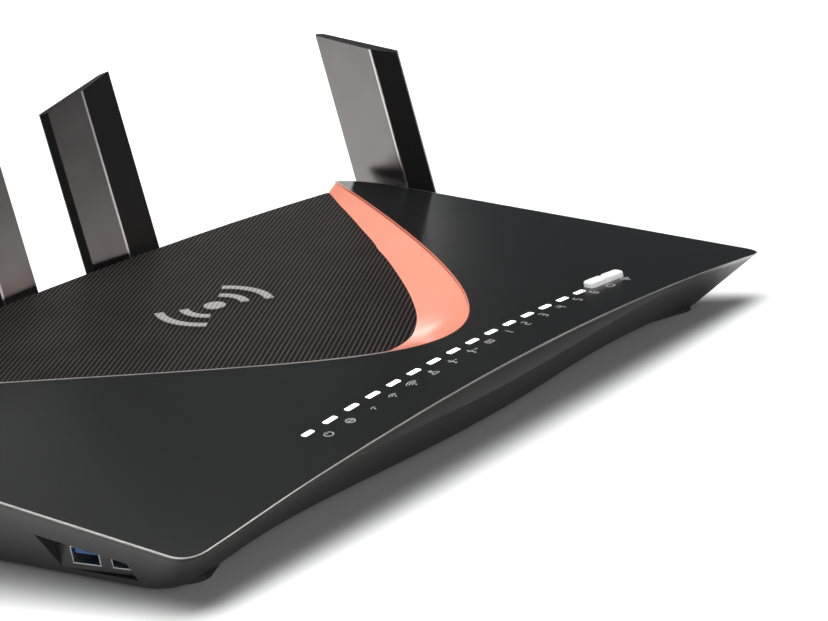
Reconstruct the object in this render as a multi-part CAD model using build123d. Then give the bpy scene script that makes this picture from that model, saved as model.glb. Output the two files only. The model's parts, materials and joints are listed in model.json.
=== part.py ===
from build123d import *
import math
import os

# Wireless router: a wedge-shaped case with a V-shaped sunken hood, four blade antennas,
# a row of indicator windows along the front edge, sockets at the rear and on the left side.
# Drawing frame: X to the right, Y to the rear (0 at the front edge's corners), Z up from the table.
# Everything is shifted along Y on export, so that the origin is under the middle of the whole object.

# Case
HALF_WIDTH = 161.0            # front corners
CROWN_Z = 27.26               # height of the top surface at the middle of the front edge
CROWN_SLOPE = 0.18            # rise of the top surface towards the rear
CROWN_SAGITTA = 10.1          # how far the top falls from the middle to the front corners
COVER_T = 2.2
WALL = 2.4
FLOOR_T = 2.0
FOOT_H = 1.6
REAR_Y = 216.0
EDGE_TRIM_W = 0.55
EDGE_TRIM_T = 0.65
TRIM_END_Y = 186.0
COVE_R = 14.0

# Sunken hood and the slanted band round it
HOOD_DROP = 9.6               # below the top surface at the middle
HOOD_SAGITTA = 4.5
HOOD_T = 2.2
RIM_Y, RIM_SLOPE, RIM_R = 30.8, 1.646, 51.1
INNER_Y, INNER_SLOPE, INNER_R = 56.5, 1.40, 41.0
RIM_TRIM_W = 0.4
RIM_TRIM_UP = 0.12
BAND_DROP = 0.8

# Indicators and the two front buttons
LED_COUNT = 15
LED_X0 = -86.0
LED_PITCH = 10.73
LED_Y = 20.3
LED_W, LED_D = 5.7, 2.2
LED_FIRST_W = 4.7
BUTTON_Y = 21.2
BUTTON_W, BUTTON_D = 10.6, 4.6
BUTTON_X = (76.0, 87.0)
BUTTON_UP = 2.0
BUTTON_GAP = 0.3
LED_BOARD_Z = 19.4
LED_BOARD_T = 1.2

# Boards and rear sockets
BOARD_Z = 4.6
BOARD_T = 1.6
BOARD_TOP = BOARD_Z + BOARD_T
PANEL_Y0, PANEL_Y1 = 213.8, 215.4
PANEL_HALF_W = 112.0
PANEL_Z0, PANEL_Z1 = 5.0, 24.0
JACK_PITCH = 13.97
JACK_W, JACK_H = 11.8, 8.3
JACK_Z = BOARD_TOP + 6.0      # centre of the plug openings
SOCKET_TOP = BOARD_TOP + 13.0
DC_TOP = BOARD_TOP + 11.0
DC_HALF_W = 4.6
SEAM = 0.02
JACK_DEPTH = 12.0
LAN_X0 = -86.0                # first of six
LAN_SPAN = (LAN_X0 - 7.3, LAN_X0 + 5 * JACK_PITCH + 7.3)
WAN_X = 8.0
SFP_X = 30.0
DC_X = 54.0
POWER_X = 76.0
RESET_X = -103.0

# Left side sockets
USB_FACE_X = -148.6
USB_Y = (42.8, 61.2)
USB_Z = 9.2
USB_W, USB_H = 13.1, 5.7
RECESS_Y0, RECESS_Y1 = 35.3, 74.0

# Antennas
BLADE_W = 41.0
BLADE_LEAN = 5.2              # degrees, as the antennas stand
SIDE_YAW = 8.0                # degrees, the side antennas follow the tapering wall
REAR_HINGE = (34.0, 228.0, 42.5)
SIDE_HINGE = (172.5, 194.2, 31.0)
STUB_R = 3.10
SOCKET_R = 3.15
PIN_R = 1.50
PIN_HOLE_R = 1.55

TILT = math.degrees(math.atan(CROWN_SLOPE))


def box(x0, x1, y0, y1, z0, z1):
    return Pos((x0 + x1) / 2, (y0 + y1) / 2, (z0 + z1) / 2) * Box(x1 - x0, y1 - y0, z1 - z0)


def rod_y(x, z, r, y0, y1):
    return Pos(x, (y0 + y1) / 2, z) * Rot(90, 0, 0) * Cylinder(r, y1 - y0)


def rod_z(x, y, r, z0, z1):
    return Pos(x, y, (z0 + z1) / 2) * Cylinder(r, z1 - z0)


def crown_z(x, y):
    return CROWN_Z + CROWN_SLOPE * y - CROWN_SAGITTA * (x / HALF_WIDTH) ** 2


def hood_z(x, y):
    return CROWN_Z - HOOD_DROP + CROWN_SLOPE * y - HOOD_SAGITTA * (x / HALF_WIDTH) ** 2


def arched_slab(sagitta, middle_z, top_drop, bottom_drop):
    """A sloping slab, arched across X, between two depths under the surface that it follows."""
    c = math.cos(math.radians(TILT))
    far = 300.0
    forward = Vector(0, -c, -math.sin(math.radians(TILT)))
    plane = Plane(origin=(0, far, middle_z + CROWN_SLOPE * far), x_dir=(1, 0, 0), z_dir=forward)
    half = 230.0
    fall = sagitta * c * (half / HALF_WIDTH) ** 2
    top = -top_drop * c
    low = -bottom_drop * c
    outline = Wire([
        Edge.make_three_point_arc((-half, top - fall, 0), (0, top, 0), (half, top - fall, 0)),
        Edge.make_line((half, top - fall, 0), (half, low - fall, 0)),
        Edge.make_three_point_arc((half, low - fall, 0), (0, low, 0), (-half, low - fall, 0)),
        Edge.make_line((-half, low - fall, 0), (-half, top - fall, 0)),
    ])
    return extrude(plane * Face(outline), amount=far + 100, dir=forward)


def crown_slab(top_drop, bottom_drop):
    return arched_slab(CROWN_SAGITTA, CROWN_Z, top_drop, bottom_drop)


def hood_slab(top_drop, bottom_drop):
    return arched_slab(HOOD_SAGITTA, CROWN_Z - HOOD_DROP, top_drop, bottom_drop)


# Outline of the case as matching points (X, Y) at the foot and at the top edge, right half.
# The third pair is the inward direction that an inset moves the point in.
FRONT = [
    ((0, 24.4), (0, -2.0), (0, 1.35)),
    ((40, 26.2), (43, -1.9), (0, 1.35)),
    ((80, 29.5), (86, -1.5), (0, 1.35)),
    ((110, 28.5), (119, -0.9), (0, 1.35)),
    ((136, 23.5), (152.5, -0.15), (0, 1.35)),
]
FRONT_CORNER = [
    FRONT[-1],
    ((149.8, 20.5), (161.2, 0), (-1.1, 1.35)),
    ((149.7, 36), (161.4, 8.8), (-1.1, 0)),
]
REAR_CORNER = [
    ((139, 190), (165.6, 185), (-1.1, 0)),
    ((137.4, REAR_Y), (165.9, REAR_Y), (-1.1, -1.0)),
    ((120, REAR_Y), (148, REAR_Y), (0, -1.0)),
]


def level_points(pair, inset):
    """The foot point and the point where the wall's straight line meets a plane above the crown."""
    (fx, fy), (ex, ey), (nx, ny) = pair
    foot = Vector(fx + nx * inset, fy + ny * inset, FOOT_H)
    edge = Vector(ex + nx * inset, ey + ny * inset, crown_z(ex, ey))
    run = edge - foot
    lift = (CROWN_Z + 3.0 + CROWN_SLOPE * foot.Y - foot.Z) / (run.Z - CROWN_SLOPE * run.Y)
    return foot, foot + run * lift


def mirrored(points):
    return [Vector(-p.X, p.Y, p.Z) for p in reversed(points)]


def envelope(inset):
    """The outside of the case, up to a plane above the top surface; inset gives the inside."""
    wires = []
    for level in (0, 1):
        front = [level_points(p, inset)[level] for p in FRONT]
        corner = [level_points(p, inset)[level] for p in FRONT_CORNER]
        rear = [level_points(p, inset)[level] for p in REAR_CORNER]
        leave = (corner[1] - corner[0]).normalized()
        enter = Vector(leave.X, -leave.Y, -leave.Z)
        wires.append(Wire([
            Edge.make_spline(mirrored(front[1:]) + front, tangents=[enter, leave]),
            Edge.make_bezier(*corner),
            Edge.make_line(corner[2], rear[0]),
            Edge.make_bezier(*rear),
            Edge.make_line(rear[2], mirrored(rear)[0]),
            Edge.make_bezier(*mirrored(rear)),
            Edge.make_line(mirrored(rear)[2], mirrored(corner)[0]),
            Edge.make_bezier(*mirrored(corner)),
        ]))
    return Solid.make_loft(wires, ruled=True)


def v_curve(y0, slope, r, offset=0.0):
    """Points of a V with a rounded tip, moved inward (towards the rear) by offset."""
    points = []
    for i in range(-19, 20):
        x = 10.0 * i
        root = math.hypot(x, r)
        y = y0 + slope * (root - r)
        s = slope * x / root
        n = math.hypot(1, s)
        points.append(Vector(x - offset * s / n, y + offset / n, 0))
    return points


def v_prism(points, z0=0.0, z1=110.0):
    """Everything behind a V curve, between two heights."""
    curve = Edge.make_spline(points)
    outline = Wire([curve, Edge.make_line(points[-1], points[0])])
    return Pos(0, 0, z0) * extrude(Face(outline), amount=z1 - z0, dir=(0, 0, 1))


def rounded_prism(x, y, w, d, z0, z1, r):
    return Pos(x, y, z0) * extrude(RectangleRounded(w, d, r), amount=z1 - z0)


def cove(r):
    """The tube that hollows the front face under the top edge, deepest at the middle."""
    path = Edge.make_three_point_arc((-104, -9.0, 10.7), (0, -3.5, 12.1), (104, -9.0, 10.7))
    tangent = path % 0
    section = Plane(origin=path @ 0, z_dir=tangent) * Circle(r)
    return sweep(section, path=path)


outside = envelope(0)
rim_region = v_prism(v_curve(RIM_Y, RIM_SLOPE, RIM_R))
band_region = v_prism(v_curve(RIM_Y, RIM_SLOPE, RIM_R, RIM_TRIM_W))
hood_region = v_prism(v_curve(INNER_Y, INNER_SLOPE, INNER_R))
front_cove = cove(COVE_R)


# ---- Covers and trims ----
def led_x(i):
    return LED_X0 + LED_PITCH * i


def led_prisms(z0, z1):
    widths = [LED_FIRST_W] + [LED_W] * (LED_COUNT - 1)
    return [rounded_prism(led_x(i), LED_Y, w, LED_D, z0, z1, 0.6) for i, w in enumerate(widths)]


trim_ring = (outside - envelope(EDGE_TRIM_W)) & crown_slab(0, EDGE_TRIM_T)
edge_trim = trim_ring & box(-200, 200, -60, TRIM_END_Y, 0, 100)

button_hole = rounded_prism(
    sum(BUTTON_X) / 2, BUTTON_Y,
    BUTTON_X[1] - BUTTON_X[0] + BUTTON_W + 2 * BUTTON_GAP, BUTTON_D + 2 * BUTTON_GAP, 15, 40, 2.2,
)
top_cover = (outside & crown_slab(0, COVER_T)) - rim_region - front_cove - edge_trim - button_hole
for window in led_prisms(15, 40):
    top_cover -= window

rim_trim = (rim_region - band_region) & outside & crown_slab(-RIM_TRIM_UP, 1.4)

carbon_hood = hood_region & outside & hood_slab(0, HOOD_T)


def inner_y(x):
    return INNER_Y + INNER_SLOPE * (math.hypot(x, INNER_R) - INNER_R)


def band_section(point, direction):
    """Quadrilateral across the slanted band, from the rim down to the hood."""
    lo, hi = 0.0, 40.0
    for _ in range(40):
        mid = (lo + hi) / 2
        p = point + direction * mid
        if p.Y < inner_y(p.X):
            lo = mid
        else:
            hi = mid
    q = point + direction * lo
    corners = [
        (point.X, point.Y, crown_z(point.X, point.Y) - BAND_DROP),
        (q.X, q.Y, hood_z(q.X, q.Y)),
        (q.X, q.Y, hood_z(q.X, q.Y) - HOOD_T),
        (point.X, point.Y, hood_z(point.X, point.Y) - HOOD_T),
    ]
    return Wire.make_polygon(corners, close=True)


band_sections = []
for i in range(-16, 17):
    x = 10.3 * i
    root = math.hypot(x, RIM_R)
    s = RIM_SLOPE * x / root
    n = math.hypot(1, s)
    start = Vector(x, RIM_Y + RIM_SLOPE * (root - RIM_R), 0)
    inward = Vector(-s / n, 1 / n, 0)
    band_sections.append(band_section(start + inward * (RIM_TRIM_W + 0.02), inward))
accent_trim = (Solid.make_loft(band_sections) & outside) - carbon_hood

# Raised mark on the hood: a dot with two arcs on each side
EMBLEM_Y = 144.0
emblem_plane = Plane(
    origin=(0, EMBLEM_Y, hood_z(0, EMBLEM_Y) - 1.5),
    x_dir=(1, 0, 0),
    z_dir=(0, -math.sin(math.radians(TILT)), math.cos(math.radians(TILT))),
)
mark = Circle(4.2)
for inner, outer in ((10.0, 13.6), (19.5, 23.1)):
    ring = Circle(outer) - Circle(inner)
    for side in (-1, 1):
        wedge = Polygon((0, 0), (side * 30, 22), (side * 30, -22), align=None)
        mark += ring & wedge
hood_emblem = extrude(emblem_plane * mark, amount=4.0) & hood_slab(-0.35, 0)


# ---- Lower shell ----
def side_frame(hinge, yaw):
    """Location of an antenna's own frame: its -Y points into the wall, its +X across the blade."""
    return Pos(*hinge) * Rot(0, 0, yaw)


REAR_FRAME = side_frame(REAR_HINGE, 0)
SIDE_FRAME = side_frame(SIDE_HINGE, SIDE_YAW - 90)


def both_sides(shape):
    return [shape, mirror(shape, about=Plane.YZ)]


inside = envelope(WALL) & box(-200, 200, -60, 260, FOOT_H + FLOOR_T, 120)
inside = inside & crown_slab(COVER_T, 80)
inside = inside - cove(COVE_R + 2.0)

recess = extrude(
    Plane(origin=(USB_FACE_X, 0, 0), x_dir=(0, 1, 0), z_dir=(1, 0, 0))
    * make_face(Polyline(
        (RECESS_Y0 + 1.0, 4.4), (RECESS_Y1, 4.4), (RECESS_Y1, 18.1),
        (RECESS_Y0 - 0.6, 11.6), close=True,
    )),
    amount=30, dir=(-1, 0, 0),
)

bottom_shell = (outside & crown_slab(COVER_T + 0.02, 90)) - inside - front_cove
bottom_shell -= rim_region & hood_slab(-60, HOOD_T)
bottom_shell -= accent_trim
bottom_shell -= box(-PANEL_HALF_W, PANEL_HALF_W, 205, 230, PANEL_Z0, PANEL_Z1)

# a pocket for the side sockets, with its own wall behind
pocket_wall = box(USB_FACE_X, USB_FACE_X + 1.6, RECESS_Y0 - 1.5, RECESS_Y1 + 1.5, 3.0, 19.5)
bottom_shell += pocket_wall & outside
bottom_shell += (
    box(-165, USB_FACE_X + 1.6, RECESS_Y0 - 3.0, RECESS_Y1 + 1.5, 2.6, 21.0) & outside
)
bottom_shell -= recess
usb_mouths = [
    box(USB_FACE_X - 1, USB_FACE_X + 3, y - USB_W / 2 - 0.2, y + USB_W / 2 + 0.2,
        USB_Z - USB_H / 2 - 0.2, USB_Z + USB_H / 2 + 0.2)
    for y in USB_Y
]
for mouth in usb_mouths:
    bottom_shell -= mouth

# posts for the two boards
BOARD_POSTS = [(-95, 70), (95, 70), (-95, 190), (95, 190), (0, 120)]
for x, y in BOARD_POSTS:
    bottom_shell += rod_z(x, y, 3.0, FOOT_H + FLOOR_T - 0.5, BOARD_Z)
LED_POSTS = [(-88, 6.2), (-30, 3.8), (30, 3.8), (66, 6.2), (100, 6.2)]
for x, z in LED_POSTS:
    bottom_shell += rod_z(x, 25.5, 2.2, z, LED_BOARD_Z)

# antenna stubs, screwed through the walls
jack_flange = Rot(90, 0, 0) * Cylinder(6.6, 1.6)
stub = Rot(90, 0, 0) * Cylinder(STUB_R, 6.0)
rear_stub = REAR_FRAME * (Pos(0, -12.8, 0) * jack_flange + Pos(0, -9.1, 0) * stub)
side_boss = Rot(90, 0, 0) * Cylinder(6.6, 14.0)
side_stub = SIDE_FRAME * (Pos(0, -19.0, 0) * side_boss + Pos(0, -9.1, 0) * stub)
antenna_jacks = both_sides(rear_stub) + both_sides(side_stub)
for jack in antenna_jacks:
    bottom_shell -= jack

# ---- Rear sockets ----
lan_x = [LAN_X0 + JACK_PITCH * i for i in range(6)]
jack_x = lan_x + [WAN_X]


def plug_opening(x):
    w = JACK_W / 2
    h = JACK_H / 2
    y0, y1 = PANEL_Y0 - JACK_DEPTH, PANEL_Y1
    latch = box(x - 3.2, x + 3.2, y0, y1, JACK_Z - h - 1.4, JACK_Z)
    return box(x - w, x + w, y0, y1, JACK_Z - h, JACK_Z + h) + latch


def socket_block(x0, x1, top):
    """A socket housing on the board, its face just behind the outer face of the rear panel."""
    return box(x0, x1, PANEL_Y0 - 16, PANEL_Y1 - 0.2, BOARD_TOP, top)


lan_block = socket_block(LAN_SPAN[0], LAN_SPAN[1], SOCKET_TOP)
for x in lan_x:
    lan_block -= plug_opening(x)
wan_jack = socket_block(WAN_X - 7.6, WAN_X + 7.6, SOCKET_TOP)
wan_jack -= plug_opening(WAN_X)

jack_contacts = []
for x in jack_x:
    for k in range(8):
        cx = x + 1.02 * (k - 3.5)
        jack_contacts.append(
            Pos(cx, PANEL_Y0 - 8.5, JACK_Z + 3.1) * Rot(12, 0, 0) * Box(0.5, 5.0, 0.4)
        )

SFP_W, SFP_H = 14.6, 9.4
sfp_z0 = BOARD_TOP + 0.6
sfp_outer = box(SFP_X - SFP_W / 2, SFP_X + SFP_W / 2, 168, 216.4, sfp_z0, sfp_z0 + SFP_H)
sfp_cage = sfp_outer - box(
    SFP_X - SFP_W / 2 + 0.4, SFP_X + SFP_W / 2 - 0.4, 169, 218, sfp_z0 + 0.4, sfp_z0 + SFP_H - 0.4
)
for leg_x in (SFP_X - 6, SFP_X + 6):
    for leg_y in (176, 206):
        sfp_cage += box(leg_x - 0.6, leg_x + 0.6, leg_y - 0.6, leg_y + 0.6, BOARD_TOP, sfp_z0)

DC_Z = BOARD_TOP + 5.6
dc_jack = socket_block(DC_X - DC_HALF_W, DC_X + DC_HALF_W, DC_TOP)
dc_jack += rod_y(DC_X, DC_Z, 4.3, PANEL_Y0 - 0.5, PANEL_Y1 + 0.4)
dc_jack -= rod_y(DC_X, DC_Z, 3.15, PANEL_Y0 - 9.5, PANEL_Y1 + 2)
dc_pin = rod_y(DC_X, DC_Z, 1.05, PANEL_Y0 - 9.5, PANEL_Y1 - 1.0)

# push buttons at the rear: a large latching power button and a recessed reset pin
POWER_Z = BOARD_TOP + 5.8
power_button = rod_y(POWER_X, POWER_Z, 4.2, PANEL_Y0 - 3.2, PANEL_Y1 + 3.4)
power_button = chamfer(power_button.edges().sort_by(Axis.Y)[-1], 0.5)
power_button += rod_y(POWER_X, POWER_Z, 1.6, PANEL_Y0 - 7.0, PANEL_Y0 - 3.0)
power_switch = box(POWER_X - 5, POWER_X + 5, PANEL_Y0 - 20, PANEL_Y0 - 7.5, BOARD_TOP, BOARD_TOP + 11.5)
power_switch -= rod_y(POWER_X, POWER_Z, 1.9, PANEL_Y0 - 12.5, PANEL_Y0)

RESET_Z = BOARD_TOP + 4.0
reset_button = rod_y(RESET_X, RESET_Z, 0.9, PANEL_Y0 - 3.5, PANEL_Y1 - 0.6)
reset_button += rod_y(RESET_X, RESET_Z, 1.6, PANEL_Y0 - 4.3, PANEL_Y0 - 3.3)
reset_switch = box(RESET_X - 3, RESET_X + 3, PANEL_Y0 - 9.5, PANEL_Y0 - 5.6, BOARD_TOP, BOARD_TOP + 6)

# ---- Rear panel: two rails, and posts that fill the space between the sockets ----
def panel_bar(x0, x1, z0, z1):
    return box(x0 + SEAM, x1 - SEAM, PANEL_Y0, PANEL_Y1, z0 + SEAM, z1 - SEAM)


LOW_RAIL_Z = BOARD_TOP - 0.1
TOP_RAIL_Z = SOCKET_TOP + 0.1
sfp_edges = (SFP_X - SFP_W / 2 - 0.1, SFP_X + SFP_W / 2 + 0.1)
dc_edges = (DC_X - DC_HALF_W - 0.1, DC_X + DC_HALF_W + 0.1)
post_spans = [
    (-PANEL_HALF_W, LAN_SPAN[0] - 0.1),
    (LAN_SPAN[1] + 0.1, WAN_X - 7.7),
    (WAN_X + 7.7, sfp_edges[0]),
    (sfp_edges[1], dc_edges[0]),
    (dc_edges[1], PANEL_HALF_W),
]
posts = [panel_bar(x0, x1, LOW_RAIL_Z, TOP_RAIL_Z) for x0, x1 in post_spans]
posts[0] -= rod_y(RESET_X, RESET_Z, 1.2, 205, 220)
posts[4] -= rod_y(POWER_X, POWER_Z, 4.5, 205, 220)
rear_panel = [
    panel_bar(-PANEL_HALF_W, PANEL_HALF_W, PANEL_Z0, LOW_RAIL_Z),
    panel_bar(-PANEL_HALF_W, PANEL_HALF_W, TOP_RAIL_Z, PANEL_Z1),
    panel_bar(*sfp_edges, sfp_z0 + SFP_H + 0.1, TOP_RAIL_Z),
    panel_bar(*dc_edges, DC_TOP + 0.1, TOP_RAIL_Z),
] + posts

# ---- Boards ----
main_board = box(-112, 112, 52, 213.4, BOARD_Z, BOARD_TOP)
main_board += box(-145.0, -112, 33, 80, BOARD_Z, BOARD_TOP) & inside
heatsink = box(-38, 42, 84, 160, BOARD_TOP + 3.4, BOARD_TOP + 6.0)
for i in range(14):
    fx = -36.5 + 5.9 * i
    heatsink += box(fx - 0.7, fx + 0.7, 84, 160, BOARD_TOP + 5.5, BOARD_TOP + 15)
processor = box(-12, 14, 108, 134, BOARD_TOP, BOARD_TOP + 3.4)
radio_shields = [
    box(-100, -60, 96, 150, BOARD_TOP, BOARD_TOP + 3.2),
    box(56, 98, 96, 150, BOARD_TOP, BOARD_TOP + 3.2),
]

led_board = box(-96, 104, 15, 30.5, LED_BOARD_Z, LED_BOARD_Z + LED_BOARD_T) & inside
LED_TOP = LED_BOARD_Z + LED_BOARD_T
light_guides = [p & crown_slab(0, 60) for p in led_prisms(LED_TOP, 40)]


def front_button(x):
    """A raised pill on a stem; its top follows the crown of the cover."""
    cap = rounded_prism(x, BUTTON_Y, BUTTON_W, BUTTON_D, 15, 40, 1.9) & crown_slab(-BUTTON_UP, 2.4)
    cap = fillet(cap.faces().sort_by(Axis.Z)[-1].edges(), 0.8)
    return cap + (rod_z(x, BUTTON_Y, 1.6, LED_TOP + 2.6, 40) & crown_slab(1.0, 60))


wifi_button = front_button(BUTTON_X[0])
sync_button = front_button(BUTTON_X[1])
front_switches = [
    box(x - 2.2, x + 2.2, BUTTON_Y - 2.2, BUTTON_Y + 2.2, LED_TOP, LED_TOP + 1.8) for x in BUTTON_X
]

# ---- Side sockets ----
usb_bezel = box(USB_FACE_X - 0.5, USB_FACE_X, RECESS_Y0 + 1.2, RECESS_Y1 - 0.3, 4.6, 12.4) & recess
usb_shells = []
usb_tongues = []
for y in USB_Y:
    shell_box = box(USB_FACE_X - 0.5, USB_FACE_X + 13.5, y - USB_W / 2, y + USB_W / 2,
                    USB_Z - USB_H / 2, USB_Z + USB_H / 2)
    hollow = box(USB_FACE_X - 2, USB_FACE_X + 13.0, y - USB_W / 2 + 0.35, y + USB_W / 2 - 0.35,
                 USB_Z - USB_H / 2 + 0.35, USB_Z + USB_H / 2 - 0.35)
    usb_bezel -= shell_box
    usb_shells.append(shell_box - hollow)
    usb_tongues.append(box(USB_FACE_X + 0.4, USB_FACE_X + 13.0, y - 5.6, y + 5.6,
                           USB_Z + 0.3, USB_Z + 2.1))

# ---- Feet and screws ----
FEET = [(127, 33.5, -30), (120, 186, 18)]
rubber_feet = []
for x, y, turn in FEET:
    foot = Pos(x, y, 0) * Rot(0, 0, turn) * extrude(SlotOverall(32, 10), amount=FOOT_H)
    rubber_feet += both_sides(foot)

case_screws = []
for x, y in ((100, 60), (96, 196)):
    screw = rod_z(x, y, 2.6, FOOT_H + 0.3, FOOT_H + 1.6)
    screw -= Pos(x, y, FOOT_H + 0.3) * (Box(3.4, 0.7, 1.4) + Box(0.7, 3.4, 1.4))
    for part in both_sides(screw):
        case_screws.append(part)
for screw in case_screws:
    bottom_shell -= rod_z(screw.center().X, screw.center().Y, 2.6, FOOT_H - 1, FOOT_H + 1.6)


# ---- Antennas, each drawn upright in its own frame with the hinge at the origin ----
BLADE_Z0 = -9.0


def above_slant(height, rise):
    """What lies above the blade's slanting top."""
    return Pos(0, 0, height) * Rot(0, -math.degrees(math.atan(rise)), 0) * box(-60, 60, -20, 20, 0, 60)


def prism(points, z0, z1):
    return Pos(0, 0, z0) * extrude(make_face(Polyline(*points, close=True)), amount=z1 - z0)


def antenna(ridge_x, height, rise):
    """Blade, face plate, ridge strip, radiator, pin and knuckle."""
    half = BLADE_W / 2
    ridge_y = -3.8
    edge = (-half + 1.8, -1.8)
    outline = [(-half, 1.5), edge, (ridge_x, ridge_y), (half, 0.5), (half - 2, 4.5), (-half + 2, 4.5)]
    top = above_slant(height, rise)
    slot = box(-7.2, 7.2, -8, 8, -12, 8.6)
    run = (ridge_x - 0.6 - edge[0]) / (ridge_x - edge[0])
    plate_end = (ridge_x - 0.6, edge[1] + (ridge_y - edge[1]) * run)
    plate = prism([edge, plate_end, (plate_end[0], plate_end[1] + 0.8), (edge[0], edge[1] + 0.8)],
                  BLADE_Z0, 120) - top - slot
    strip = prism([plate_end, (ridge_x, ridge_y), (ridge_x + 0.5, ridge_y + 0.1),
                   (ridge_x + 0.5, ridge_y + 1.0), (plate_end[0], ridge_y + 1.0)],
                  BLADE_Z0, 120) - top - slot
    radiator = box(-9.0, 9.0, 1.0, 1.6, 16, height - 14)
    blade = prism(outline, BLADE_Z0, 120) - top - slot - plate - strip
    blade -= box(-9.0, 9.0, 1.0, 1.6, 16, height - 14)
    blade -= Rot(0, 90, 0) * Cylinder(PIN_R, 21.0)
    pin = Rot(0, 90, 0) * Cylinder(PIN_R, 21.0)
    ball = Rot(0, 90, 0) * Cylinder(6.2, 13.4)
    neck = Pos(0, -8.6, 0) * Rot(90, 0, 0) * Cylinder(6.4, 6.4)
    knuckle = ball + (neck & box(-6.7, 6.7, -20, 0, -20, 20))
    knuckle -= Pos(0, -9.2, 0) * Rot(90, 0, 0) * Cylinder(SOCKET_R, 6.4)
    knuckle -= Rot(0, 90, 0) * Cylinder(PIN_HOLE_R, 20)
    return {"blade": blade, "face_plate": plate, "ridge_strip": strip,
            "radiator": radiator, "pin": pin, "knuckle": knuckle}


antennas = {}
rear_parts = antenna(0.0, 83.5, 0.245)
side_parts = antenna(9.5, 85.5, -0.42)
for piece, solid in rear_parts.items():
    turned = solid if piece == "knuckle" else Rot(-BLADE_LEAN, 0, 0) * solid
    right, left = both_sides(REAR_FRAME * turned)
    antennas["rear_right_" + piece] = right
    antennas["rear_left_" + piece] = left
for piece, solid in side_parts.items():
    right, left = both_sides(SIDE_FRAME * Rot(0, -BLADE_LEAN, 0) * solid)
    antennas["side_right_" + piece] = right
    antennas["side_left_" + piece] = left

# ---- Export ----
nodes = {
    "top_cover": top_cover,
    "edge_trim": edge_trim,
    "rim_trim": rim_trim,
    "accent_trim": accent_trim,
    "carbon_hood": carbon_hood,
    "hood_emblem": hood_emblem,
    "bottom_shell": bottom_shell,
    "rear_panel": rear_panel,
    "usb_bezel": usb_bezel,
    "rubber_feet": rubber_feet,
    "case_screws": case_screws,
    "main_board": main_board,
    "processor": processor,
    "radio_shields": radio_shields,
    "heatsink": heatsink,
    "led_board": led_board,
    "light_guides": light_guides,
    "front_switches": front_switches,
    "wifi_button": wifi_button,
    "sync_button": sync_button,
    "lan_block": lan_block,
    "wan_jack": wan_jack,
    "jack_contacts": jack_contacts,
    "sfp_cage": sfp_cage,
    "dc_jack": dc_jack,
    "dc_pin": dc_pin,
    "power_button": power_button,
    "power_switch": power_switch,
    "reset_button": reset_button,
    "reset_switch": reset_switch,
    "usb_shells": usb_shells,
    "usb_tongues": usb_tongues,
    "antenna_jacks": antenna_jacks,
}
nodes.update(antennas)


def solids_of(shape):
    parts = shape if isinstance(shape, list) else [shape]
    return [solid for part in parts for solid in part.solids()]


EXPORT_SHIFT_Y = 119.23
os.makedirs("parts", exist_ok=True)
for name, shape in nodes.items():
    moved = [Pos(0, -EXPORT_SHIFT_Y, 0) * solid for solid in solids_of(shape)]
    part = moved[0] if len(moved) == 1 else Compound(children=moved)
    export_step(part, "parts/" + name + ".step")
    size = part.bounding_box()
    print(f"{name:26s} {len(moved):3d} {sum(s.volume for s in moved):12.2f}",
          [round(v, 2) for v in (*size.min, *size.max)])
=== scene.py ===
"""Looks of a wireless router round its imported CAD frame: materials, printed marks, floor, light, camera."""

import json
import math

import bmesh
import bpy
from mathutils import Matrix, Vector
from mathutils.bvhtree import BVHTree


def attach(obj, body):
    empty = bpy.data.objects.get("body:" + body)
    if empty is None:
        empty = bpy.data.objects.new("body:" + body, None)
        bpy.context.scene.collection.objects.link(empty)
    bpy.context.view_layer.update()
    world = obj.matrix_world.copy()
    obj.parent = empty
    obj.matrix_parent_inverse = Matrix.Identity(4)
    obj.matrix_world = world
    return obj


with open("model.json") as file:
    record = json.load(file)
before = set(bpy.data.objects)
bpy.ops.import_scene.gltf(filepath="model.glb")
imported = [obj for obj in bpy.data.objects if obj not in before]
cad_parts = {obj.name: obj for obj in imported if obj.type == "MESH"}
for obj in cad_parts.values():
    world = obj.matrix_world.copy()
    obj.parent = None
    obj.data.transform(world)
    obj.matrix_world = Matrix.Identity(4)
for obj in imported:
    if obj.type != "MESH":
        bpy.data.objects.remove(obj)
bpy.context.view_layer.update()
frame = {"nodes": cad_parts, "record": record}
NODES = frame["nodes"]
MM = 0.001

# Shared places, in metres in the row frame
FRONT_Y = -0.11923            # the front corners of the case
MARK_X0, MARK_PITCH = -0.0834, 0.01075
MARK_Y = FRONT_Y + 0.0140
MARK_BOW = 0.00013            # each mark sits this much further back than the one before
MARK_T = 0.00004              # ink thickness
MARK_LIFT = 0.00001           # ink above the cover, so the faces never coincide
RAY_Z = 0.3                   # above the whole object
FLOOR_HALF = 40.0


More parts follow.
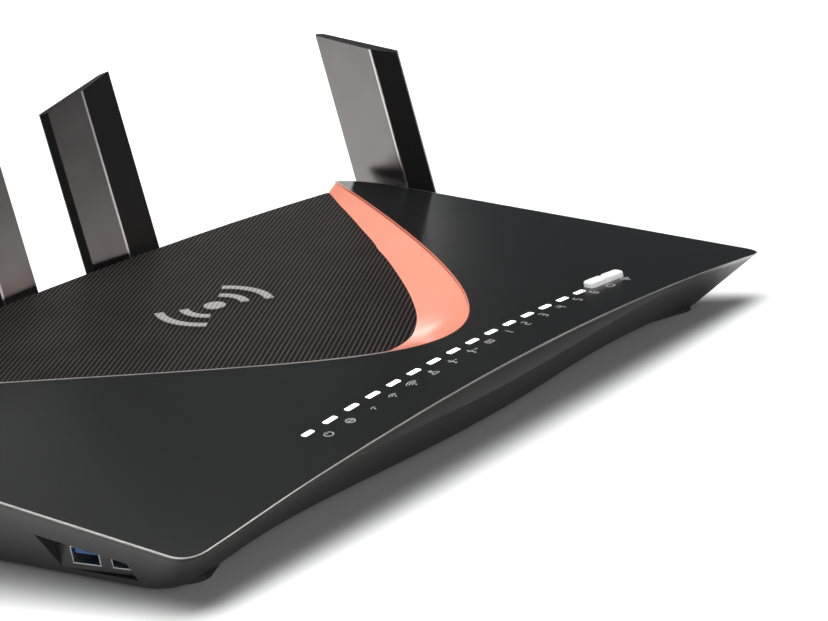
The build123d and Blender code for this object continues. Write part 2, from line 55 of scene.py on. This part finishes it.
# ---- Node helpers ----
class Graph:
    """A material with short calls for its nodes."""

    def __init__(self, name):
        self.mat = bpy.data.materials.new(name)
        self.mat.use_nodes = True
        self.tree = self.mat.node_tree
        self.shader = self.tree.nodes["Principled BSDF"]

    def node(self, kind, **values):
        n = self.tree.nodes.new(kind)
        for key, value in values.items():
            setattr(n, key, value)
        return n

    def link(self, out, socket):
        self.tree.links.new(out, socket)

    def coords(self):
        return self.node("ShaderNodeTexCoord").outputs["Object"]

    def math(self, op, a, b=0.0, c=0.0):
        n = self.node("ShaderNodeMath", operation=op)
        for i, value in enumerate((a, b, c)):
            if isinstance(value, (int, float)):
                n.inputs[i].default_value = value
            else:
                self.link(value, n.inputs[i])
        return n.outputs[0]

    def noise(self, scale, detail=4.0, rough=0.5, vector=None):
        n = self.node("ShaderNodeTexNoise")
        n.inputs["Scale"].default_value = scale
        n.inputs["Detail"].default_value = detail
        n.inputs["Roughness"].default_value = rough
        self.link(vector or self.coords(), n.inputs["Vector"])
        return n.outputs["Fac"]

    def ramp(self, factor, stops):
        n = self.node("ShaderNodeValToRGB")
        n.color_ramp.elements[0].position = stops[0][0]
        n.color_ramp.elements[0].color = (*stops[0][1], 1)
        n.color_ramp.elements[1].position = stops[-1][0]
        n.color_ramp.elements[1].color = (*stops[-1][1], 1)
        for position, color in stops[1:-1]:
            n.color_ramp.elements.new(position).color = (*color, 1)
        self.link(factor, n.inputs["Fac"])
        return n.outputs["Color"]

    def remap(self, factor, lo, hi, from_lo=0.0, from_hi=1.0):
        n = self.node("ShaderNodeMapRange")
        n.inputs["From Min"].default_value = from_lo
        n.inputs["From Max"].default_value = from_hi
        n.inputs["To Min"].default_value = lo
        n.inputs["To Max"].default_value = hi
        self.link(factor, n.inputs["Value"])
        return n.outputs["Result"]

    def bump(self, height, strength, distance):
        n = self.node("ShaderNodeBump")
        n.inputs["Strength"].default_value = strength
        n.inputs["Distance"].default_value = distance
        self.link(height, n.inputs["Height"])
        self.link(n.outputs["Normal"], self.shader.inputs["Normal"])

    def set(self, **values):
        for key, value in values.items():
            socket = self.shader.inputs[key.replace("_", " ")]
            if isinstance(value, tuple) and len(value) == 3:
                value = (*value, 1)
            if hasattr(value, "is_linked"):
                self.link(value, socket)
            else:
                socket.default_value = value


def shaded(color, k):
    return tuple(min(1.0, c * k) for c in color)


def moulded(name, color, rough, grain=2600.0, depth=0.00004, strength=0.25, spread=0.12,
            rough_spread=0.05, metallic=0.0, **extra):
    """Moulded or painted surface: fine grain, faint blotches in colour and gloss."""
    g = Graph(name)
    blotch = g.noise(38.0, 2.0)
    g.set(
        Base_Color=g.ramp(blotch, [(0.25, shaded(color, 1 - spread)), (0.75, shaded(color, 1 + spread))]),
        Roughness=g.remap(g.noise(95.0, 2.0), rough - rough_spread, rough + rough_spread),
        Metallic=metallic,
        **extra,
    )
    g.bump(g.noise(grain, 2.0, 0.6), strength, depth)
    return g.mat


def weave(name, gap, middle, crest_sheen, rough=(0.62, 0.42), **extra):
    """Diagonal woven fibre: raised strands and a step along each strand; the colour follows the strand height,
    lighter at the crests as painted sheen and darker in the gaps as painted shade.
    """
    g = Graph(name)
    split = g.node("ShaderNodeSeparateXYZ")
    g.link(g.coords(), split.inputs[0])
    x, y = split.outputs["X"], split.outputs["Y"]
    angle = math.radians(29)
    pitch, step = 0.00185, 0.00098        # between strands, and along one strand
    across = g.math("ADD", g.math("MULTIPLY", x, -math.sin(angle)), g.math("MULTIPLY", y, math.cos(angle)))
    along = g.math("ADD", g.math("MULTIPLY", x, math.cos(angle)), g.math("MULTIPLY", y, math.sin(angle)))
    strand = g.math("DIVIDE", across, pitch)
    row = g.math("FLOOR", strand)
    phase = g.math("FRACT", strand)
    hump = g.math("SINE", g.math("MULTIPLY", phase, math.pi))
    stagger = g.math("MULTIPLY", row, 0.43)
    knot = g.math("FRACT", g.math("ADD", g.math("DIVIDE", along, step), stagger))
    ripple = g.math("SINE", g.math("MULTIPLY", knot, math.pi))
    height = g.math("MULTIPLY", g.math("POWER", hump, 2.3), g.math("MULTIPLY_ADD", ripple, 0.6, 0.4))
    haze = g.noise(60.0, 3.0)
    tone = g.math("MULTIPLY", height, g.remap(haze, 0.85, 1.15))
    # colour from strand height: painted sheen on the crests, painted shade in the gaps, with random haze
    g.set(
        Base_Color=g.ramp(tone, [(0.30, gap), (0.66, middle), (0.98, crest_sheen)]),
        Roughness=g.remap(height, *rough),
        **extra,
    )
    g.bump(height, 0.55, 0.00022)
    return g.mat


def brushed(name, color, rough, axis="X", scale=900.0):
    """Brushed or drawn metal with fine lines along an axis."""
    g = Graph(name)
    stretch = g.node("ShaderNodeMapping")
    factors = {"X": (0.02, 1, 1), "Y": (1, 0.02, 1), "Z": (1, 1, 0.02)}[axis]
    stretch.inputs["Scale"].default_value = factors
    g.link(g.coords(), stretch.inputs["Vector"])
    lines = g.noise(scale, 4.0, 0.65, stretch.outputs["Vector"])
    g.set(
        Base_Color=g.ramp(lines, [(0.2, shaded(color, 0.86)), (0.8, shaded(color, 1.1))]),
        Roughness=g.remap(lines, rough - 0.06, rough + 0.08),
        Metallic=1.0,
    )
    g.bump(lines, 0.12, 0.00003)
    return g.mat


def glowing(name, color, strength, low, high):
    """Frosted white that gives off light, a little uneven: lamp light through the light guides, a painted glow
    on the keys, which are no lamp.
    """
    g = Graph(name)
    cloud = g.noise(700.0, 2.0)
    g.set(
        Base_Color=g.ramp(cloud, [(0.2, shaded(color, 0.9)), (0.8, color)]),
        Roughness=g.remap(cloud, 0.35, 0.5),
        Emission_Color=g.ramp(g.noise(240.0, 2.0), [(0.25, shaded(color, low)), (0.7, shaded(color, high))]),
        Emission_Strength=strength,
    )
    return g.mat


def circuit(name, color):
    """Solder mask over faint copper tracks."""
    g = Graph(name)
    cells = g.node("ShaderNodeTexBrick")
    cells.inputs["Scale"].default_value = 240.0
    cells.inputs["Color1"].default_value = (*shaded(color, 0.9), 1)
    cells.inputs["Color2"].default_value = (*shaded(color, 1.25), 1)
    cells.inputs["Mortar"].default_value = (*shaded(color, 2.2), 1)
    cells.inputs["Mortar Size"].default_value = 0.012
    g.link(g.coords(), cells.inputs["Vector"])
    g.set(Base_Color=cells.outputs["Color"], Roughness=g.remap(g.noise(120.0), 0.3, 0.45))
    g.bump(cells.outputs["Fac"], 0.2, 0.00003)
    return g.mat


def tone_with_painted_reflection(name, left, right, edge_x, blend, rough, metal):
    """Colour that changes along the object: one tone at the left, another at the right; on the rim the
    copper-red at the right is a painted reflection of the copper band next to it.
    """
    g = Graph(name)
    split = g.node("ShaderNodeSeparateXYZ")
    g.link(g.coords(), split.inputs[0])
    reflection_share = g.remap(split.outputs["X"], 0.0, 1.0, edge_x - blend, edge_x + blend)
    g.set(
        Base_Color=g.ramp(reflection_share, [(0.0, left), (1.0, right)]),
        Roughness=g.remap(g.noise(900.0), rough - 0.04, rough + 0.04),
        Metallic=g.remap(reflection_share, *metal),
    )
    return g.mat


M = {
    "cover_black": moulded("cover_black", (0.0072, 0.0074, 0.0075), 0.25, spread=0.05, strength=0.05,
                           rough_spread=0.006, Specular_IOR_Level=0.36),
    "silver_trim": brushed("silver_trim", (0.50, 0.49, 0.48), 0.34),
    "accent_copper": moulded("accent_copper", (0.84, 0.30, 0.205), 0.18, grain=5200, depth=0.00001,
                             strength=0.05, spread=0.03, rough_spread=0.02, IOR=1.6),
    # carbon and emblem weave tones: painted sheen on the strand crests, painted shade in the gaps
    "carbon_weave": weave("carbon_weave", (0.0014, 0.0010, 0.0009), (0.0085, 0.0062, 0.0058),
                          (0.105, 0.087, 0.083), IOR=1.2, Specular_IOR_Level=0.3),
    "emblem_metal": weave("emblem_metal", (0.250, 0.232, 0.225), (0.36, 0.34, 0.33), (0.54, 0.51, 0.50),
                          rough=(0.48, 0.34), Metallic=0.4, Specular_IOR_Level=0.4),
    "shell_grey": moulded("shell_grey", (0.019, 0.0175, 0.017), 0.40, strength=0.2, rough_spread=0.02),
    "panel_black": moulded("panel_black", (0.016, 0.016, 0.017), 0.5),
    "foot_rubber": moulded("foot_rubber", (0.022, 0.022, 0.022), 0.75, grain=1800, strength=0.5),
    "screw_steel": brushed("screw_steel", (0.42, 0.42, 0.43), 0.34, "Z"),
    "board_green": circuit("board_green", (0.012, 0.085, 0.045)),
    "chip_black": moulded("chip_black", (0.015, 0.015, 0.016), 0.45),
    "shield_steel": brushed("shield_steel", (0.58, 0.58, 0.57), 0.3, "Y"),
    "heatsink_aluminium": brushed("heatsink_aluminium", (0.62, 0.62, 0.63), 0.38, "Y"),
    "guide_white": glowing("guide_white", (1.0, 1.0, 1.0), 2.2, 0.8, 1.0),
    # the keys glow faintly: painted light, they hold no lamp
    "key_white": glowing("key_white", (0.74, 0.73, 0.735), 0.22, 0.9, 1.0),
    "socket_black": moulded("socket_black", (0.012, 0.012, 0.013), 0.42),
    "contact_gold": brushed("contact_gold", (0.83, 0.62, 0.28), 0.25, "Y"),
    "tongue_blue": moulded("tongue_blue", (0.015, 0.11, 0.35), 0.45),
    "key_black": moulded("key_black", (0.02, 0.02, 0.021), 0.4),
    "antenna_black": moulded("antenna_black", (0.0075, 0.0075, 0.0077), 0.4, strength=0.10,
                             Specular_IOR_Level=0.12),
    "antenna_grey": moulded("antenna_grey", (0.225, 0.212, 0.208), 0.24, grain=4200, strength=0.06,
                            spread=0.04, metallic=1.0),
    "ridge_silver": brushed("ridge_silver", (0.85, 0.85, 0.86), 0.24, "Z"),
    "radiator_copper": brushed("radiator_copper", (0.72, 0.4, 0.24), 0.35, "Z"),
    "print_grey": moulded("print_grey", (0.36, 0.36, 0.36), 0.5, grain=5000, strength=0.05),
}

slot_of = {s["node"]: s["material_slot"] for s in frame["record"]["subparts"]}
special = {
    # rim line: silver at the left; its copper-red at the right is a painted reflection of the copper accent
    # band
    "rim_trim": tone_with_painted_reflection("rim_line_painted_reflection", (0.50, 0.49, 0.48), (0.80, 0.24, 0.15), -0.022, 0.006, 0.34, (0.9, 0.1)),
    "usb_bezel": M["shell_grey"],
}
for name, obj in NODES.items():
    material = special.get(name, M[slot_of[name]])
    if not obj.material_slots:
        obj.data.materials.append(material)
    for material_slot in obj.material_slots:
        material_slot.material = material


# ---- Printed marks: flat shapes in millimetres, set on the cover ----
def bar(x0, y0, x1, y1, w):
    """A stroke from one point to the other."""
    d = Vector((x1 - x0, y1 - y0)).normalized()
    n = Vector((-d.y, d.x)) * (w / 2)
    a, b = Vector((x0, y0)), Vector((x1, y1))
    return [[a - n, b - n, b + n, a + n]]


def arc(cx, cy, r, w, start, end, steps=20, squeeze=1.0):
    """A curved stroke; squeeze narrows it across X."""
    quads = []
    for i in range(steps):
        t0 = math.radians(start + (end - start) * i / steps)
        t1 = math.radians(start + (end - start) * (i + 1) / steps)
        ring = []
        for radius, t in ((r - w / 2, t0), (r + w / 2, t0), (r + w / 2, t1), (r - w / 2, t1)):
            ring.append(Vector((cx + squeeze * radius * math.cos(t), cy + radius * math.sin(t))))
        quads.append(ring)
    return quads


def disc(cx, cy, r):
    return arc(cx, cy, r / 2, r, 0, 360, 16)


def outline(points, w):
    strokes = []
    for p, q in zip(points, points[1:]):
        strokes += bar(*p, *q, w)
    return strokes


STROKE = 0.32                 # width of the drawn lines, in millimetres
MARK_SCALE = 1.12             # of the drawn millimetres below


def waves(count):
    shape = disc(0, -1.3, 0.32)
    for i in range(count):
        shape += arc(0, -1.3, 1.15 + 0.85 * i, STROKE, 40, 140)
    return shape


def trident(dots):
    shape = bar(0, -1.6, 0, 1.6, STROKE) + disc(0, -1.5, 0.45)
    shape += bar(0, -0.6, 1.0, 0.3, STROKE) + bar(0, -0.2, -1.0, 0.7, STROKE)
    for i in range(dots):
        shape += disc(1.9 + 0.9 * i, 0.0, 0.3)
    return shape


SEGMENTS = {
    "a": (-0.7, 1.5, 0.7, 1.5), "b": (0.7, 1.5, 0.7, 0), "c": (0.7, 0, 0.7, -1.5), "d": (-0.7, -1.5, 0.7, -1.5),
    "e": (-0.7, 0, -0.7, -1.5), "f": (-0.7, 1.5, -0.7, 0), "g": (-0.7, 0, 0.7, 0),
}
DIGITS = {1: "bc", 2: "abged", 3: "abgcd", 4: "fgbc", 5: "afgcd", 6: "afgecd"}


def digit(n):
    return [quad for key in DIGITS[n] for quad in bar(*SEGMENTS[key], STROKE)]


power = arc(0, 0, 1.35, STROKE, 120, 420) + bar(0, 0.3, 0, 1.7, STROKE)
globe = arc(0, 0, 1.4, STROKE, 0, 360) + arc(0, 0, 1.4, STROKE, 0, 360, squeeze=0.45)
globe += bar(-1.3, 0, 1.3, 0, STROKE)
guest = disc(0, 0.9, 0.65) + arc(0, -1.5, 1.3, STROKE, 0, 180) + bar(-1.4, -1.5, 1.4, -1.5, STROKE)
link_mark = outline([(-1.4, -0.9), (-1.4, 0.9), (1.4, 0.9), (1.4, -0.9), (-1.4, -0.9)], STROKE)
link_mark += disc(0, 0, 0.35)
pair_mark = arc(-0.5, 0, 1.2, STROKE, 60, 300) + arc(0.5, 0, 1.2, STROKE, -120, 120)
marks = [power, globe, waves(1), waves(2), waves(3), guest, trident(1), trident(2), link_mark]
marks += [digit(n) for n in range(1, 7)] + [pair_mark, waves(3)]


def surface_tree(*names):
    """A tree for finding the top of one or more CAD nodes."""
    verts, faces = [], []
    for node in names:
        mesh = NODES[node].data
        base = len(verts)
        verts += [v.co.copy() for v in mesh.vertices]
        faces += [[base + i for i in p.vertices] for p in mesh.polygons]
    return BVHTree.FromPolygons(verts, faces)


def print_on(tree, name, x, y, polygons, material, body):
    """Lays flat shapes on the surface under a point, as thin raised ink."""
    hit, normal, _, _ = tree.ray_cast(Vector((x, y, RAY_Z)), Vector((0, 0, -1)))
    across = Vector((0, 1, 0)).cross(normal).normalized()
    up = normal.cross(across)
    bm = bmesh.new()
    for ring in polygons:
        low = []
        for p in ring:
            flat = (across * p.x + up * p.y) * MARK_SCALE * MM
            low.append(bm.verts.new(hit + flat + normal * MARK_LIFT))
        high = [bm.verts.new(v.co + normal * MARK_T) for v in low]
        bm.faces.new(high)
        bm.faces.new(low[::-1])
        for i in range(len(ring)):
            j = (i + 1) % len(ring)
            bm.faces.new((low[i], low[j], high[j], high[i]))
    mesh = bpy.data.meshes.new(name)
    bm.to_mesh(mesh)
    bm.free()
    obj = bpy.data.objects.new(name, mesh)
    bpy.context.scene.collection.objects.link(obj)
    mesh.materials.append(material)
    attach(obj, body)
    return obj


cover_tree = surface_tree("top_cover")
for i, shape in enumerate(marks):
    piece = print_on(cover_tree, f"mark_{i + 1:02d}", MARK_X0 + MARK_PITCH * i, MARK_Y + MARK_BOW * i,
                     shape, M["print_grey"], "case")


# ---- Floor, light and camera ----
def floor_material():
    g = Graph("floor_pale")
    g.set(
        Base_Color=g.ramp(g.noise(1.5, 3.0), [(0.3, (0.86, 0.86, 0.86)), (0.7, (0.89, 0.89, 0.89))]),
        Roughness=0.65,
        Specular_IOR_Level=0.2,
    )
    return g.mat


floor_mesh = bpy.data.meshes.new("floor")
bm = bmesh.new()
bmesh.ops.create_grid(bm, x_segments=8, y_segments=8, size=FLOOR_HALF)
bm.to_mesh(floor_mesh)
bm.free()
floor = bpy.data.objects.new("floor", floor_mesh)
bpy.context.scene.collection.objects.link(floor)
floor_mesh.materials.append(floor_material())

CENTRE = Vector((0.0, -0.02, 0.03))


def softbox(name, place, size, energy, aim=CENTRE, spread=180.0):
    light = bpy.data.lights.new(name, "AREA")
    light.shape = "RECTANGLE"
    light.size, light.size_y = size
    light.energy = energy
    light.spread = math.radians(spread)
    obj = bpy.data.objects.new(name, light)
    obj.location = place
    obj.rotation_euler = (Vector(aim) - Vector(place)).to_track_quat("-Z", "Y").to_euler()
    obj.visible_camera = False
    bpy.context.scene.collection.objects.link(obj)


softbox("ceiling", (0.3, 0.4, 6.0), (6.6, 6.6), 720)
softbox("far_floor", (3.2, 5.2, 6.0), (5.0, 5.0), 420, aim=(3.2, 5.21, 0.0), spread=75.0)
softbox("rear_right", (2.10, 2.05, 0.72), (0.9, 0.40), 2.3)
softbox("rear_left", (1.20, 2.20, 1.75), (0.7, 0.5), 0.6)

softbox("front_fill", (-1.6, -2.2, 0.7), (1.4, 0.9), 24)

world = bpy.data.worlds.new("studio")
bpy.context.scene.world = world
world.use_nodes = True
world.node_tree.nodes["Background"].inputs["Color"].default_value = (0.92, 0.95, 1.0, 1)
world.node_tree.nodes["Background"].inputs["Strength"].default_value = 0.06

EYE = Vector((-0.505874, -0.529778, 0.196123))
AIM = Vector((-0.019562, -0.092766, 0.047759))
ROLL = math.radians(11.21)
camera_data = bpy.data.cameras.new("camera")
camera_data.lens = 86.96
camera_data.sensor_width = 36.0
camera_data.clip_start = 0.05
camera = bpy.data.objects.new("camera", camera_data)
toward = (AIM - EYE).normalized()
level = toward.to_track_quat("-Z", "Y").to_matrix()
camera.matrix_world = Matrix.Translation(EYE) @ (Matrix.Rotation(ROLL, 3, toward) @ level).to_4x4()
bpy.context.scene.collection.objects.link(camera)
bpy.context.scene.camera = camera
bpy.context.scene.view_settings.view_transform = "Standard"
